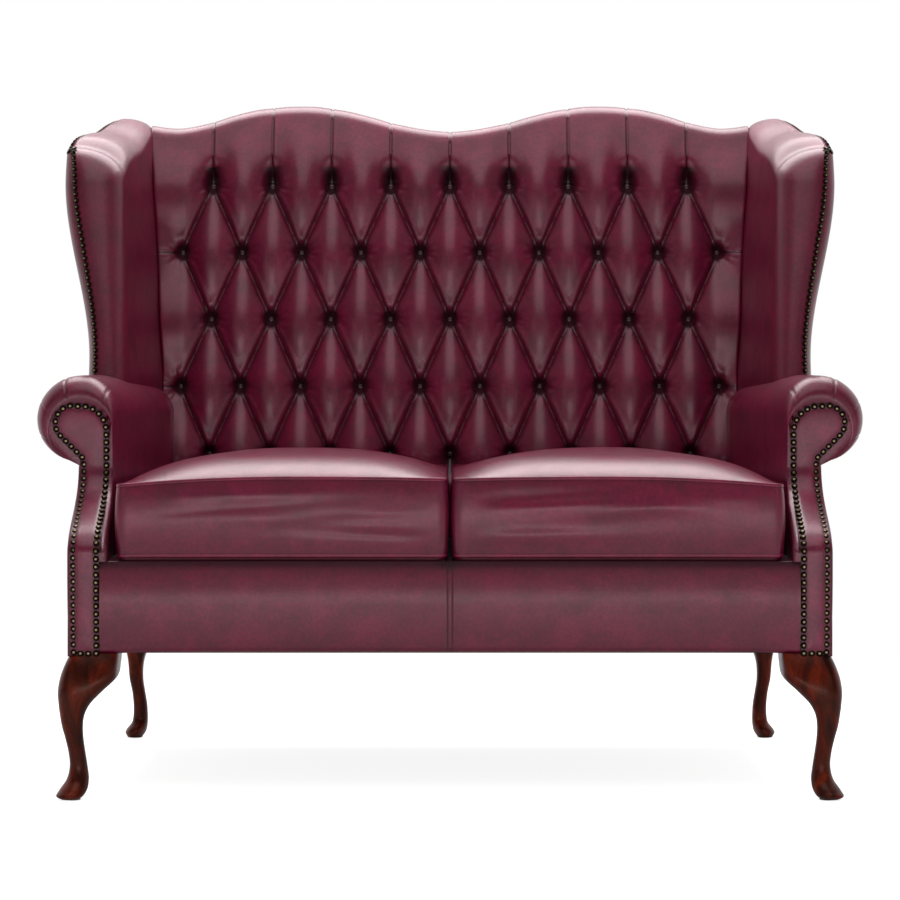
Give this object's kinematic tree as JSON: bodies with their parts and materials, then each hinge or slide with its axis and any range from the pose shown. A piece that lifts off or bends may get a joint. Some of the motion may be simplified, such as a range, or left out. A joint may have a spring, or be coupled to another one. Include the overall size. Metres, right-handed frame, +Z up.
{
  "type": "high back settee",
  "caption": "High-backed leather settee with scroll arms, splayed wings, a deep-buttoned back, loose seat cushions and cabriole legs.",
  "frame": {"origin": "on the floor under the middle of the settee", "axes": "+X to the right seen from the front, -Y to the front, +Z up"},
  "size_m": [1.322, 0.8306, 1.14],
  "materials": {
    "leather": "antique burgundy hide, semi-gloss",
    "mahogany": "dark red-brown gloss lacquer",
    "beech_frame": "sawn and unfinished",
    "steel_wire": "drawn and bright",
    "jute_webbing": "woven jute",
    "deck_cloth": "black lining cloth over felt",
    "dust_cloth": "black spun cloth",
    "nylon_glide": "moulded"
  },
  "bodies": {
    "frame": {"back_centre_stile": "beech_frame", "back_rail": "beech_frame", "back_webbing": "jute_webbing", "buttoned_back": "leather", "centre_seat_brace": "beech_frame", "dust_cover": "dust_cloth", "front_border": "leather", "front_rail": "beech_frame", "left_arm_facing": "leather", "left_arm_pad": "leather", "left_arm_post": "beech_frame", "left_arm_rail": "beech_frame", "left_back_corner_block": "beech_frame", "left_back_glide": "nylon_glide", "left_back_leg": "mahogany", "left_back_leg_bolt": "steel_wire", "left_back_post": "beech_frame", "left_front_corner_block": "beech_frame", "left_front_glide": "nylon_glide", "left_front_leg": "mahogany", "left_front_leg_bolt": "steel_wire", "left_outside_arm": "leather", "left_outside_wing": "leather", "left_side_rail": "beech_frame", "left_wing_frame": "beech_frame", "left_wing_pad": "leather", "outside_back": "leather", "right_arm_facing": "leather", "right_arm_pad": "leather", "right_arm_post": "beech_frame", "right_arm_rail": "beech_frame", "right_back_corner_block": "beech_frame", "right_back_glide": "nylon_glide", "right_back_leg": "mahogany", "right_back_leg_bolt": "steel_wire", "right_back_post": "beech_frame", "right_front_corner_block": "beech_frame", "right_front_glide": "nylon_glide", "right_front_leg": "mahogany", "right_front_leg_bolt": "steel_wire", "right_outside_arm": "leather", "right_outside_wing": "leather", "right_side_rail": "beech_frame", "right_wing_frame": "beech_frame", "right_wing_pad": "leather", "seat_deck": "deck_cloth", "seat_springs": "steel_wire", "top_rail": "beech_frame", "tuck_rail": "beech_frame"},
    "left_cushion": {"left_seat_cushion": "leather"},
    "right_cushion": {"right_seat_cushion": "leather"}
  },
  "joints": [
    {"name": "left_cushion_lift", "type": "slide", "parent": "frame", "child": "left_cushion", "axis": [0, 0, 1], "range_m": [0, 0.28]},
    {"name": "right_cushion_lift", "type": "slide", "parent": "frame", "child": "right_cushion", "axis": [0, 0, 1], "range_m": [0, 0.28]}
  ]
}
